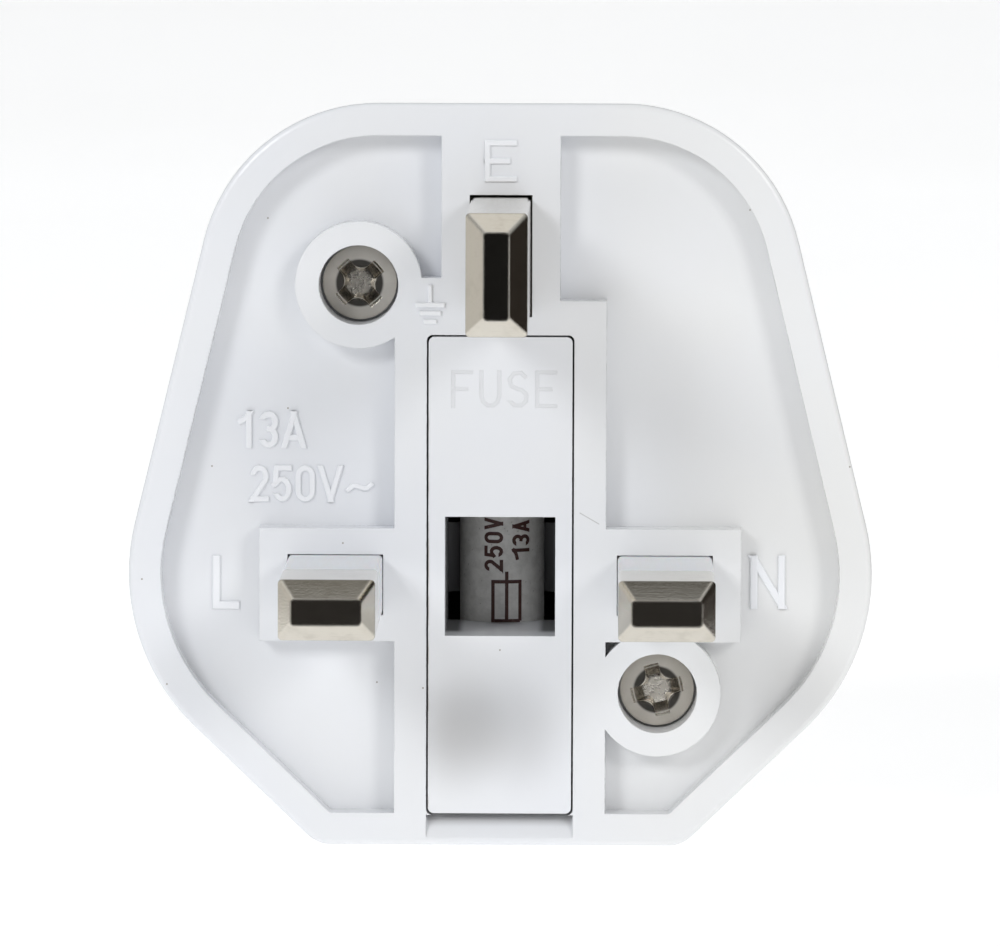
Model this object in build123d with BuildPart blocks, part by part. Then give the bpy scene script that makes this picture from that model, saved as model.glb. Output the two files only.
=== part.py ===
from build123d import *

import os
from math import cos, radians, sin, tan

# A fused three-pin travel adapter: flat pins for one wall system on the front, and a
# shuttered outlet that takes round, upright or slanted foreign pins on the back.
# Millimetres. The origin is the middle of the line between the live and neutral pins, on the
# face that meets the wall socket. X runs right as seen from the pins, Z is up with the earth
# pin on top, and the pins point to -Y. A depth is a distance from that face along +Y.

# Housing outline on the wall-socket face: six straight sides, then their corner radii
top_z = 32.5
top_half_width = 17.76
shoulder_z = -3.95
shoulder_half_width = 26.65
bottom_z = -17.7
bottom_half_width = 12.36
top_corner_r = 12.1
shoulder_corner_r = 14.45
bottom_corner_r = 2.3
inner_corner_r = 0.4

# Housing shells
body_depth = 29.0
parting_depth = 8.0
draft_angle = 3.0
wall = 2.2
outlet_wall = 2.4
rim_edge_r = 0.4
seam_bevel = 0.15
outlet_edge_r = 2.0
tongue_reach = 1.5
tongue_wall = 1.0
seat_gap = 0.1

# Relief of the wall-socket face
recess_depth = 2.0
floor_thickness = 2.0
column_half_width = 4.0
block_half_width = 7.13
block_top_left_z = 20.74
block_top_right_z = 19.22
pad_outer_x = 16.25
pad_half_height = 3.83

# Pins
pin_spacing = 22.22
pin_width = 6.35
pin_height = 4.0
pin_reach = 17.7
earth_pin_z = 22.23
earth_pin_width = 4.0
earth_pin_height = 8.0
earth_pin_reach = 22.73
pin_edge_r = 0.3
pin_tip_length = 1.6
pin_tip_side_bevel = 0.85
pin_tip_top_bevel = 1.12
earth_tip_bevel = 1.15
pin_slot_gap = 0.1
sleeve_reach = 9.5
sleeve_wall = 0.6
flange_thickness = 1.6
flange_lip = 0.7
earth_flange_lip = 1.4
spigot_r = 1.3
rivet_r = 1.5
rivet_height = 0.6

# Fuse carrier, a drawer in the middle of the face
carrier_half_width = 4.84
carrier_low_z = -15.5
carrier_high_z = 16.78
carrier_depth = 14.6
carrier_face = 1.6
carrier_side_wall = 1.12
carrier_end_wall = 1.2
carrier_corner_r = 0.4
carrier_gap = 0.12
bay_wall = 1.2
window_half_width = 3.72
window_low_z = -3.44
window_high_z = 4.63
web_thickness = 1.2
web_depth = 10.2
cap_cutout_depth = 9.0
lip_bite = 0.4
lip_lead = 1.0
lip_crest = 0.3
lip_root = 2.0
lip_half_height = 2.4
notch_low_z = -17.15
notch_depth = 1.7
notch_sag = 0.25
pry_groove_depth = 0.5
pry_groove_width = 0.8
pry_groove_from_face = 0.9

# Cartridge fuse
fuse_length = 25.4
fuse_r = 3.15
fuse_body_r = 2.9
fuse_axis_depth = 11.5
cap_length = 6.2
cap_end = 0.4
cap_skin_gap = 0.02
fuse_end_gap = 0.15

# Housing screws, each in a boss of the face and a pillar of the outlet shell
upper_screw_place = (-9.57, 20.24)
lower_screw_place = (10.64, -7.31)
upper_screw_turn = 41.0
lower_screw_turn = 14.0
boss_r = 4.28
boss_tube_r = 3.6
screw_head_r = 2.5
screw_head_height = 1.9
screw_head_edge = 1.0
screw_head_depth = 2.0
screw_bore_gap = 0.18
screw_shank_r = 1.45
screw_shank_gap = 0.15
screw_length = 13.0
screw_point = 1.2
thread_gap = 0.03
cross_span = 4.4
cross_arm = 1.1
cross_corner_r = 0.9
cross_floor_span = 1.9
cross_floor_arm = 0.8
cross_floor_corner_r = 0.35
cross_sink = 1.4
pillar_r = 3.25
pillar_step = 0.7
screw_end_room = 1.0

# Outlet: the middle of its live and neutral apertures, and the pins that it takes
outlet_z = 10.0
round_pin_offset = 9.5
round_hole_r = 2.5
upright_blade_offset = 6.35
slanted_blade_offset = 7.92
slanted_blade_angle = 30.0
blade_slot_width = 2.0
blade_slot_height = 7.0
earth_blade_offset = 10.31
plate_aperture_margin = 0.3

# Sheet metal contacts and fuse clips
sheet = 0.5
leaf_root_offset = 3.9
leaf_pinch_offset = 1.9
leaf_tip_offset = 3.2
leaf_inner_x = 5.5
contact_web_x = 12.7
leaf_bend_r = 1.0
contact_root_length = 3.0
leaf_spring_length = 4.5
leaf_tip_length = 3.3
foot_half_height = 2.1
foot_length = 4.0
clip_gap = 0.1
clip_flare = 0.4
clip_spread = 0.15
clip_tip_reach = 1.9
clip_base_gap = 1.6
clip_height = 4.8
clip_bend_r = 0.6
strap_low_z = 14.2
strap_high_z = 16.7
live_strap_inner_x = -7.0
tab_length = 3.6
earth_leaf_half_gap = 0.7
earth_leaf_half_width = 2.65
earth_leaf_low_z = 18.3
earth_leaf_high_z = 23.7

# Contact plate between the contacts and the shutter
plate_thickness = 1.4
contact_end_gap = 0.2
cradle_wall = 1.2
cradle_reach = 7.0
stake_r = 1.2
stake_head_r = 1.8
stake_head_height = 0.6
clip_rib_half_width = 2.2

# Shutter and its return spring
shutter_half_width = 12.3
shutter_height = 8.4
shutter_thickness = 3.8
shutter_gap = 0.2
shutter_leading_land = 1.2
shutter_thin = 0.6
shutter_spine_half_width = 4.2
shutter_travel = 7.7
guide_rib = 1.3
spring_wire_r = 0.22
spring_r = 1.5
spring_turns = 8
spring_pocket_gap = 0.4
spring_pocket_height = 2.8
spring_seat_z = -8.5
spring_end_gap = 0.05
spring_seat_thickness = 1.2
spring_seat_half_width = 2.8

# Places that follow from the sizes above
floor_back = recess_depth + floor_thickness
cavity_depth = body_depth - outlet_wall
foot_depth = floor_back + flange_thickness
screw_seat = screw_head_depth + screw_head_height
carrier_middle_z = (carrier_low_z + carrier_high_z) / 2
bay_half_width = carrier_half_width + carrier_gap
bay_low_z = carrier_low_z - carrier_gap
bay_high_z = carrier_high_z + carrier_gap
fuse_low_z = carrier_middle_z - fuse_length / 2
fuse_high_z = carrier_middle_z + fuse_length / 2
shutter_back = cavity_depth - shutter_gap
shutter_front = shutter_back - shutter_thickness
plate_back = shutter_front - shutter_gap
plate_depth = plate_back - plate_thickness
clip_base_depth = carrier_depth + clip_base_gap
leaf_end_depth = plate_depth - contact_end_gap
leaf_pinch_depth = leaf_end_depth - leaf_tip_length
leaf_bend_depth = leaf_pinch_depth - leaf_spring_length
contact_root_depth = leaf_bend_depth - contact_root_length
earth_outlet_z = outlet_z + earth_blade_offset
shutter_low_z = outlet_z - shutter_height / 2
shutter_high_z = outlet_z + shutter_height / 2

os.makedirs("parts", exist_ok=True)


def at_depth(depth):
    """Plane across the body at a depth, with local X to the right and local Y up."""
    return Plane.XZ.offset(-depth)


def along_depth(x, z=0.0):
    """Plane along the body at a place in X, with local X into the depth and local Y up."""
    return Plane(origin=(x, 0, z), x_dir=(0, 1, 0), z_dir=(1, 0, 0))


def draw_span(left, right, low, high, mode=Mode.ADD):
    """Draw a rectangle in the open sketch by its four sides."""
    with Locations(((left + right) / 2, (low + high) / 2)):
        Rectangle(right - left, high - low, mode=mode)


def draw_sides(sink=0.0, skin=0.0):
    """Draw the six straight sides in the open sketch, with the drafted ones sunk by the draft."""
    slant = (shoulder_half_width - bottom_half_width) / (shoulder_z - bottom_z)
    right = [
        (bottom_half_width - sink * slant, bottom_z - sink),
        (shoulder_half_width, shoulder_z),
        (top_half_width, top_z),
    ]
    left = [(-x, z) for x, z in reversed(right)]
    Polygon(*right, *left, align=None)
    if sink + skin > 0:
        offset(amount=-(sink + skin), kind=Kind.INTERSECTION)


def corner_rounds(skin=0.0):
    """Axis to sort the corners by, the pair to pick, and the radius of its round."""
    return (
        (Axis.Y, (-2, -1), top_corner_r - skin),
        (Axis.X, (0, -1), shoulder_corner_r - skin),
        (Axis.Y, (0, 1), max(bottom_corner_r - skin, inner_corner_r)),
    )


def draw_outline(sketch, depth, skin=0.0):
    """Draw the housing section at a depth in the open sketch, drawn in by a skin."""
    draw_sides(depth * tan(radians(draft_angle)), skin)
    for axis, picks, radius in corner_rounds(skin):
        corners = sketch.vertices().sort_by(axis)
        fillet([corners[pick] for pick in picks], radius=radius)


def housing_form(near, far, skin=0.0):
    """Solid with the housing section from one depth to another, drawn in by a skin.

    The draft closes the top and the sides, and the bottom stays level to stand on.
    """
    with BuildPart() as form:
        with BuildSketch(at_depth(near)):
            draw_sides(0, skin)
        extrude(amount=near - far)
        sides = form.faces() - form.faces().filter_by(Axis.Y)
        draft(sides.sort_by(Axis.Z)[1:], neutral_plane=at_depth(0), angle=-draft_angle)
        for axis, picks, radius in corner_rounds(skin):
            corners = form.edges() - form.faces().filter_by(Axis.Y).edges()
            corners = corners.sort_by(Axis.Z if axis == Axis.Y else axis)
            fillet([corners[pick] for pick in picks], radius=radius)
    return form.part


def draw_carrier(gap=0.0):
    """Draw the fuse carrier's outline in the open sketch, widened all round by a gap."""
    with Locations((0, carrier_middle_z)):
        RectangleRounded(
            2 * (carrier_half_width + gap),
            carrier_high_z - carrier_low_z + 2 * gap,
            carrier_corner_r,
        )


def draw_apertures(margin=0.0):
    """Draw the outlet's apertures in the open sketch, widened all round by a margin."""
    slot_width = blade_slot_width + 2 * margin
    slot_height = blade_slot_height + 2 * margin
    for side in (-1, 1):
        with Locations((side * round_pin_offset, outlet_z)):
            Circle(round_hole_r + margin)
        with Locations((side * upright_blade_offset, outlet_z)):
            Rectangle(slot_width, slot_height)
        with Locations((side * slanted_blade_offset, outlet_z)):
            Rectangle(slot_width, slot_height, rotation=-side * slanted_blade_angle)
    with Locations((0, earth_outlet_z)):
        Rectangle(slot_width, slot_height)
        Circle(round_hole_r + margin)


def finish(builder, name):
    """Label a finished piece and write its file."""
    builder.part.label = name
    export_step(builder.part, f"parts/{name}.step")


# Base housing: the moulding on the pin side, with its raised ribs flush with the rim
base_form = housing_form(0, parting_depth)
base_hollow = housing_form(floor_back, parting_depth, wall)
step_skin = wall - tongue_wall - seat_gap
step_form = housing_form(parting_depth - tongue_reach - seat_gap, parting_depth, step_skin)
with BuildPart() as base_housing:
    add(base_form)
    fillet(base_housing.faces().sort_by(Axis.Y)[0].edges(), radius=rim_edge_r)
    chamfer(base_housing.faces().sort_by(Axis.Y)[-1].edges(), length=seam_bevel)
    with BuildSketch(at_depth(0)) as recess:
        draw_outline(recess, 0, wall)
        draw_span(-column_half_width, column_half_width, 0, top_z, mode=Mode.SUBTRACT)
        draw_span(-block_half_width, 0, bottom_z, block_top_left_z, mode=Mode.SUBTRACT)
        draw_span(0, block_half_width, bottom_z, block_top_right_z, mode=Mode.SUBTRACT)
        draw_span(
            -pad_outer_x, pad_outer_x, -pad_half_height, pad_half_height, mode=Mode.SUBTRACT
        )
        with Locations(upper_screw_place, lower_screw_place):
            Circle(boss_r, mode=Mode.SUBTRACT)
    extrude(amount=-recess_depth, mode=Mode.SUBTRACT)

    # Hollow behind the floor, and the step that takes the other shell's tongue
    add(base_hollow, mode=Mode.SUBTRACT)
    add(step_form, mode=Mode.SUBTRACT)

    # Bay walls round the fuse carrier, and tubes behind the screw bosses
    with BuildSketch(at_depth(floor_back)):
        with Locations((0, carrier_middle_z)):
            Rectangle(
                2 * (bay_half_width + bay_wall),
                bay_high_z - bay_low_z + 2 * bay_wall,
            )
        with Locations(upper_screw_place, lower_screw_place):
            Circle(boss_tube_r)
    extrude(amount=-(parting_depth - floor_back))
    with BuildSketch(at_depth(0)):
        draw_carrier(carrier_gap)
    extrude(amount=-parting_depth, mode=Mode.SUBTRACT)

    # Slots for the sleeves and the earth pin, and the stepped screw holes
    with BuildSketch(at_depth(0)):
        with Locations((-pin_spacing / 2, 0), (pin_spacing / 2, 0)):
            Rectangle(pin_width + pin_slot_gap, pin_height + pin_slot_gap)
        with Locations((0, earth_pin_z)):
            Rectangle(earth_pin_width + 2 * pin_slot_gap, earth_pin_height + 2 * pin_slot_gap)
    extrude(amount=-floor_back, mode=Mode.SUBTRACT)
    with Locations(at_depth(0)):
        with Locations(upper_screw_place, lower_screw_place):
            CounterBoreHole(
                radius=screw_shank_r + screw_shank_gap,
                counter_bore_radius=screw_head_r + screw_bore_gap,
                counter_bore_depth=screw_seat,
                depth=parting_depth,
            )

    # Pry notch: a hollow ramp from the rim down to the carrier's lower edge
    with BuildSketch(along_depth(0)):
        with BuildLine():
            ramp = SagittaArc((0, notch_low_z), (notch_depth, bay_low_z), notch_sag)
            Polyline(ramp @ 1, (-notch_depth, bay_low_z), (-notch_depth, notch_low_z), ramp @ 0)
        make_face()
    extrude(amount=bay_half_width, both=True, mode=Mode.SUBTRACT)
finish(base_housing, "base_housing")

# Socket housing: the deep shell behind it, with the outlet in its end wall
post_places = [(-x, z) for x, z in (upper_screw_place, lower_screw_place)]
socket_form = housing_form(parting_depth, body_depth)
socket_hollow = housing_form(parting_depth - tongue_reach, cavity_depth, wall)
with BuildPart() as socket_housing:
    add(socket_form)
    fillet(socket_housing.faces().sort_by(Axis.Y)[-1].edges(), radius=outlet_edge_r)
    chamfer(socket_housing.faces().sort_by(Axis.Y)[0].edges(), length=seam_bevel)

    # Tongue that centres the base housing, thinner than the wall behind it
    with BuildSketch(at_depth(parting_depth)) as tongue:
        draw_outline(tongue, parting_depth, wall - tongue_wall)
    extrude(amount=tongue_reach)
    add(socket_hollow, mode=Mode.SUBTRACT)

    # Break in the tongue for the bay walls, and room for the end of the fuse carrier
    with BuildSketch(at_depth(parting_depth)):
        bay_outer_x = bay_half_width + bay_wall + seat_gap
        draw_span(-bay_outer_x, bay_outer_x, bottom_z, carrier_middle_z)
    extrude(amount=tongue_reach, mode=Mode.SUBTRACT)
    with BuildSketch(at_depth(parting_depth)):
        draw_carrier(carrier_gap)
    extrude(amount=-(carrier_depth + carrier_gap - parting_depth), mode=Mode.SUBTRACT)

    # Screw pillars, whose step carries the contact plate, and plain posts that are staked to it
    with BuildSketch(at_depth(cavity_depth)):
        with Locations(upper_screw_place, lower_screw_place):
            Circle(pillar_r + pillar_step)
        with Locations(*post_places):
            Circle(stake_head_r + pillar_step)
    extrude(amount=cavity_depth - plate_back)
    with BuildSketch(at_depth(cavity_depth)):
        with Locations(upper_screw_place, lower_screw_place):
            Circle(pillar_r)
    extrude(amount=cavity_depth - parting_depth)
    with BuildSketch(at_depth(plate_back)):
        with Locations(*post_places):
            Circle(stake_r)
    extrude(amount=plate_thickness + stake_head_height)
    with BuildSketch(at_depth(plate_depth)):
        with Locations(*post_places):
            Circle(stake_head_r)
    extrude(amount=stake_head_height)

    # Guides on both sides of the shutter, and the seat under its spring
    guide_inner_x = shutter_half_width + seat_gap
    with BuildSketch(at_depth(cavity_depth)):
        for side in (-1, 1):
            with Locations((side * (guide_inner_x + guide_rib / 2), shutter_high_z)):
                Rectangle(
                    guide_rib, shutter_height + shutter_travel, align=(Align.CENTER, Align.MAX)
                )
        draw_span(
            -spring_seat_half_width,
            spring_seat_half_width,
            spring_seat_z - spring_seat_thickness,
            spring_seat_z,
        )
    extrude(amount=cavity_depth - plate_back)

    with BuildSketch(at_depth(body_depth)):
        draw_apertures()
    extrude(amount=outlet_wall, mode=Mode.SUBTRACT)
    screw_hole_depth = screw_seat + screw_length + screw_end_room
    with BuildSketch(at_depth(parting_depth)):
        with Locations(upper_screw_place, lower_screw_place):
            Circle(screw_shank_r + thread_gap)
    extrude(amount=-(screw_hole_depth - parting_depth), mode=Mode.SUBTRACT)
finish(socket_housing, "socket_housing")


def pin_section(depth, place, width, height):
    """Face of a flat pin, or of a sleeve, across the body at a depth."""
    with BuildSketch(at_depth(depth)) as section:
        with Locations(place):
            RectangleRounded(width, height, pin_edge_r)
    return section.sketch


def disc(depth, place, radius):
    """Round face across the body at a depth."""
    with BuildSketch(at_depth(depth)) as section:
        with Locations(place):
            Circle(radius)
    return section.sketch


def add_pin_end(place, width, height, reach, start, side_bevel, top_bevel):
    """Add a bare pin to the open part from a depth out to its bevelled tip."""
    tip_root = pin_tip_length - reach
    extrude(pin_section(start, place, width, height), amount=start - tip_root)
    end = pin_section(-reach, place, width - 2 * side_bevel, height - 2 * top_bevel)
    loft(sections=[pin_section(tip_root, place, width, height), end], ruled=True)


def add_pin_foot(place, width, height):
    """Add the flange behind the floor, and the rivet that holds a sheet metal foot on it."""
    with BuildSketch(at_depth(floor_back)) as flange:
        with Locations(place):
            Rectangle(width, height)
    extrude(flange.sketch, amount=-flange_thickness)
    extrude(disc(foot_depth, place, spigot_r), amount=-(sheet + rivet_height))
    extrude(disc(foot_depth + sheet, place, rivet_r), amount=-rivet_height)


# Live and neutral pins: a thinner core in a sleeve that ends flush with the bare metal
core_width = pin_width - 2 * sleeve_wall
core_height = pin_height - 2 * sleeve_wall
for name, side in (("live_pin", -1), ("neutral_pin", 1)):
    place = (side * pin_spacing / 2, 0)
    core = pin_section(floor_back, place, core_width, core_height)
    with BuildPart() as pin:
        extrude(core, amount=floor_back + sleeve_reach)
        add_pin_end(
            place,
            pin_width,
            pin_height,
            pin_reach,
            -sleeve_reach,
            pin_tip_side_bevel,
            pin_tip_top_bevel,
        )
        add_pin_foot(place, pin_width + 2 * flange_lip, pin_height + 2 * flange_lip)
    finish(pin, name)

    with BuildPart() as sleeve:
        extrude(
            pin_section(floor_back, place, pin_width, pin_height),
            amount=floor_back + sleeve_reach,
        )
        extrude(core, amount=floor_back + sleeve_reach, mode=Mode.SUBTRACT)
    finish(sleeve, f"{name}_sleeve")

# Earth pin: bare metal all the way, with a flange that only widens it sideways
earth_place = (0, earth_pin_z)
with BuildPart() as earth_pin:
    add_pin_end(
        earth_place,
        earth_pin_width,
        earth_pin_height,
        earth_pin_reach,
        floor_back,
        earth_tip_bevel,
        earth_tip_bevel,
    )
    add_pin_foot(earth_place, earth_pin_width + 2 * earth_flange_lip, earth_pin_height)
finish(earth_pin, "earth_pin")

# Fuse carrier: an open drawer with a window, whose webs cradle the fuse
with BuildPart() as fuse_carrier:
    with BuildSketch(at_depth(0)):
        draw_carrier()
    extrude(amount=-carrier_depth)
    web_low_z = window_low_z - web_thickness
    web_high_z = window_high_z + web_thickness
    stop_low_z = fuse_low_z - fuse_end_gap
    stop_high_z = fuse_high_z + fuse_end_gap
    hollows = [
        (carrier_low_z + carrier_end_wall, stop_low_z - web_thickness),
        (stop_low_z, web_low_z),
        (web_high_z, stop_high_z),
        (stop_high_z + web_thickness, carrier_high_z - carrier_end_wall),
    ]
    hollow_half_width = carrier_half_width - carrier_side_wall
    with BuildSketch(at_depth(carrier_depth)):
        for low, high in hollows:
            draw_span(-hollow_half_width, hollow_half_width, low, high)
    extrude(amount=carrier_depth - carrier_face, mode=Mode.SUBTRACT)
    with BuildSketch(at_depth(0)):
        draw_span(-window_half_width, window_half_width, window_low_z, window_high_z)
    extrude(amount=-carrier_depth, mode=Mode.SUBTRACT)

    # The webs end in a round seat under the fuse, and the side walls are open at its caps
    with BuildSketch(at_depth(carrier_depth)):
        draw_span(-hollow_half_width, hollow_half_width, web_low_z, web_high_z)
    extrude(amount=carrier_depth - web_depth, mode=Mode.SUBTRACT)
    with BuildSketch(Plane.XY.offset(web_low_z)):
        with Locations((0, fuse_axis_depth)):
            Circle(fuse_body_r + seat_gap)
    extrude(amount=web_high_z - web_low_z, mode=Mode.SUBTRACT)
    with BuildSketch(at_depth(carrier_depth)):
        for low, high in (
            (stop_low_z, fuse_low_z + cap_length),
            (fuse_high_z - cap_length, stop_high_z),
        ):
            draw_span(-carrier_half_width, carrier_half_width, low, high)
    extrude(amount=carrier_depth - cap_cutout_depth, mode=Mode.SUBTRACT)

    # Snap lips that keep the fuse on its seats
    lip_tip_x = fuse_body_r - lip_bite
    with BuildSketch(Plane.XY.offset(carrier_middle_z - lip_half_height)):
        with BuildLine():
            Polyline(
                (hollow_half_width, carrier_depth),
                (lip_tip_x, carrier_depth - lip_lead),
                (lip_tip_x, carrier_depth - lip_lead - lip_crest),
                (hollow_half_width, carrier_depth - lip_root),
                close=True,
            )
        make_face()
        mirror(about=Plane.YZ)
    extrude(amount=2 * lip_half_height)

    # Groove in the lower end for the tip of a screwdriver
    with BuildSketch(along_depth(0)):
        draw_span(
            pry_groove_from_face,
            pry_groove_from_face + pry_groove_width,
            carrier_low_z,
            carrier_low_z + pry_groove_depth,
        )
    extrude(amount=hollow_half_width, both=True, mode=Mode.SUBTRACT)
finish(fuse_carrier, "fuse_carrier")

# Cartridge fuse: a ceramic tube between two drawn metal caps
with BuildPart() as fuse_body:
    with BuildSketch(Plane.XY.offset(fuse_low_z + cap_end)):
        with Locations((0, fuse_axis_depth)):
            Circle(fuse_body_r)
    extrude(amount=fuse_length - 2 * cap_end)
finish(fuse_body, "fuse_body")

for name, end_z, inward in (("fuse_cap_lower", fuse_low_z, 1), ("fuse_cap_upper", fuse_high_z, -1)):
    with BuildPart() as cap:
        with BuildSketch(Plane.XY.offset(end_z)):
            with Locations((0, fuse_axis_depth)):
                Circle(fuse_r)
        extrude(amount=inward * cap_length)
        fillet(cap.edges().sort_by(Axis.Z)[0 if inward > 0 else -1], radius=cap_end)
        with BuildSketch(Plane.XY.offset(end_z + inward * cap_end)):
            with Locations((0, fuse_axis_depth)):
                Circle(fuse_body_r + cap_skin_gap)
        extrude(amount=inward * cap_length, mode=Mode.SUBTRACT)
    finish(cap, name)


def draw_cross(sketch, span, arm, corner_r):
    """Draw a cross in the open sketch, with its inner corners rounded."""
    Rectangle(span, arm)
    Rectangle(arm, span)
    fillet(sketch.vertices().sort_by_distance((0, 0))[:4], radius=corner_r)


# Housing screws: domed heads with a cross recess, each turned as it was tightened
for name, place, turn in (
    ("housing_screw_upper", upper_screw_place, upper_screw_turn),
    ("housing_screw_lower", lower_screw_place, lower_screw_turn),
):
    screw_x, screw_z = place
    screw_end = screw_seat + screw_length
    with BuildPart() as screw:
        with BuildSketch(Plane(origin=(screw_x, 0, screw_z), x_dir=(1, 0, 0), z_dir=(0, 0, 1))):
            with BuildLine():
                dome = TangentArc(
                    (0, screw_head_depth),
                    (screw_head_r, screw_head_depth + screw_head_edge),
                    tangent=(1, 0),
                )
                Polyline(
                    dome @ 1,
                    (screw_head_r, screw_seat),
                    (screw_shank_r, screw_seat),
                    (screw_shank_r, screw_end - screw_point),
                    (0, screw_end),
                    dome @ 0,
                )
            make_face()
        revolve(axis=Axis((screw_x, 0, screw_z), (0, 1, 0)))
        recess_plane = Plane(
            origin=(screw_x, screw_head_depth, screw_z),
            x_dir=(cos(radians(turn)), 0, sin(radians(turn))),
            z_dir=(0, -1, 0),
        )
        with BuildSketch(recess_plane) as cross_mouth:
            draw_cross(cross_mouth, cross_span, cross_arm, cross_corner_r)
        with BuildSketch(recess_plane.offset(-cross_sink)) as cross_floor:
            draw_cross(cross_floor, cross_floor_span, cross_floor_arm, cross_floor_corner_r)
        loft(sections=[cross_mouth.sketch, cross_floor.sketch], ruled=True, mode=Mode.SUBTRACT)
    finish(screw, name)


def draw_leaf_pair():
    """Draw the upper and lower spring leaf of an outlet contact, seen from its side."""
    with BuildLine() as leaf_middle:
        FilletPolyline(
            (contact_root_depth, leaf_root_offset),
            (leaf_bend_depth, leaf_root_offset),
            (leaf_pinch_depth, leaf_pinch_offset),
            (leaf_end_depth, leaf_tip_offset),
            radius=leaf_bend_r,
        )
    trace(leaf_middle.line, line_width=sheet)
    mirror(about=Plane.XZ)


web_reach = leaf_root_offset + sheet / 2
for name, side in (("live_contact", -1), ("neutral_contact", 1)):
    inner_x = side * leaf_inner_x
    web_x = side * contact_web_x
    with BuildPart() as contact:
        with BuildSketch(along_depth(min(inner_x, web_x), outlet_z)):
            draw_leaf_pair()
        extrude(amount=contact_web_x - leaf_inner_x)
        with BuildSketch(along_depth(web_x)):
            draw_span(
                contact_root_depth, leaf_bend_depth, outlet_z - web_reach, outlet_z + web_reach
            )
            if side > 0:
                draw_span(foot_depth, leaf_bend_depth, -foot_half_height, outlet_z)
            else:
                draw_span(
                    contact_root_depth, clip_base_depth + 2 * sheet, outlet_z, strap_high_z
                )
        extrude(amount=side * sheet)
        edge_x = web_x + side * sheet
        if side > 0:
            # Foot under the rivet of the neutral pin
            with BuildSketch(at_depth(foot_depth)):
                draw_span(edge_x - foot_length - sheet, edge_x, -foot_half_height, foot_half_height)
                with Locations((pin_spacing / 2, 0)):
                    Circle(spigot_r, mode=Mode.SUBTRACT)
            extrude(amount=-sheet)
        else:
            # Tab that laps the strap of the load clip
            with BuildSketch(at_depth(clip_base_depth + sheet)):
                draw_span(edge_x, edge_x + tab_length + sheet, strap_low_z, strap_high_z)
            extrude(amount=-sheet)
    finish(contact, name)

# Earth contact: a sheet bent to a U, whose leaves close on an upright blade
with BuildPart() as earth_contact:
    with BuildSketch(Plane.XY.offset(earth_leaf_low_z)):
        with BuildLine():
            base_depth = foot_depth + sheet / 2
            leaf = [
                (earth_leaf_half_gap + sheet + leaf_bend_r, leaf_end_depth),
                (earth_leaf_half_gap + sheet / 2, leaf_pinch_depth),
                (earth_leaf_half_width, leaf_bend_depth),
                (earth_leaf_half_width, base_depth),
            ]
            FilletPolyline(*leaf, *[(-x, y) for x, y in reversed(leaf)], radius=clip_bend_r)
        trace(line_width=sheet)
    extrude(amount=earth_leaf_high_z - earth_leaf_low_z)
    with BuildSketch(at_depth(foot_depth)):
        draw_span(
            -earth_leaf_half_width + clip_bend_r,
            earth_leaf_half_width - clip_bend_r,
            earth_leaf_high_z,
            earth_pin_z + earth_pin_height / 2,
        )
    extrude(amount=-sheet)
    with BuildSketch(at_depth(foot_depth)):
        with Locations(earth_place):
            Circle(spigot_r)
    extrude(amount=-sheet, mode=Mode.SUBTRACT)
finish(earth_contact, "earth_contact")


def draw_fuse_clip():
    """Draw the clip that grips a fuse cap from behind, seen along the fuse."""
    grip_x = fuse_r + clip_gap + sheet / 2
    arm = [
        (grip_x + clip_flare, fuse_axis_depth - clip_tip_reach),
        (grip_x, fuse_axis_depth),
        (grip_x + clip_spread, clip_base_depth + sheet / 2),
    ]
    with BuildLine() as clip_middle:
        FilletPolyline(*arm, *[(-x, y) for x, y in reversed(arm)], radius=clip_bend_r)
    trace(clip_middle.line, line_width=sheet)


cap_inset = (cap_length - clip_height) / 2
load_clip_z = fuse_high_z - cap_inset - clip_height
line_clip_z = fuse_low_z + cap_inset
with BuildPart() as load_fuse_clip:
    with BuildSketch(Plane.XY.offset(load_clip_z)):
        draw_fuse_clip()
    extrude(amount=clip_height)
    with BuildSketch(at_depth(clip_base_depth)):
        neck_half_width = fuse_r - clip_bend_r
        draw_span(-neck_half_width, neck_half_width, load_clip_z + clip_height, strap_high_z)
        draw_span(seat_gap - contact_web_x, neck_half_width, strap_low_z, strap_high_z)
    extrude(amount=-sheet)
finish(load_fuse_clip, "load_fuse_clip")

with BuildPart() as line_fuse_clip:
    with BuildSketch(Plane.XY.offset(line_clip_z)):
        draw_fuse_clip()
    extrude(amount=clip_height)
    with BuildSketch(at_depth(clip_base_depth)):
        draw_span(live_strap_inner_x - sheet, 0, line_clip_z, line_clip_z + clip_height)
    extrude(amount=-sheet)
    with BuildSketch(along_depth(live_strap_inner_x)):
        draw_span(foot_depth, clip_base_depth + sheet, line_clip_z, line_clip_z + clip_height)
        draw_span(foot_depth, foot_depth + foot_length, line_clip_z, foot_half_height)
    extrude(amount=-sheet)
    with BuildSketch(at_depth(foot_depth)):
        foot_end_x = -pin_spacing / 2 - foot_half_height
        draw_span(foot_end_x, live_strap_inner_x, -foot_half_height, foot_half_height)
        with Locations((-pin_spacing / 2, 0)):
            Circle(spigot_r, mode=Mode.SUBTRACT)
    extrude(amount=-sheet)
finish(line_fuse_clip, "line_fuse_clip")

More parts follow.
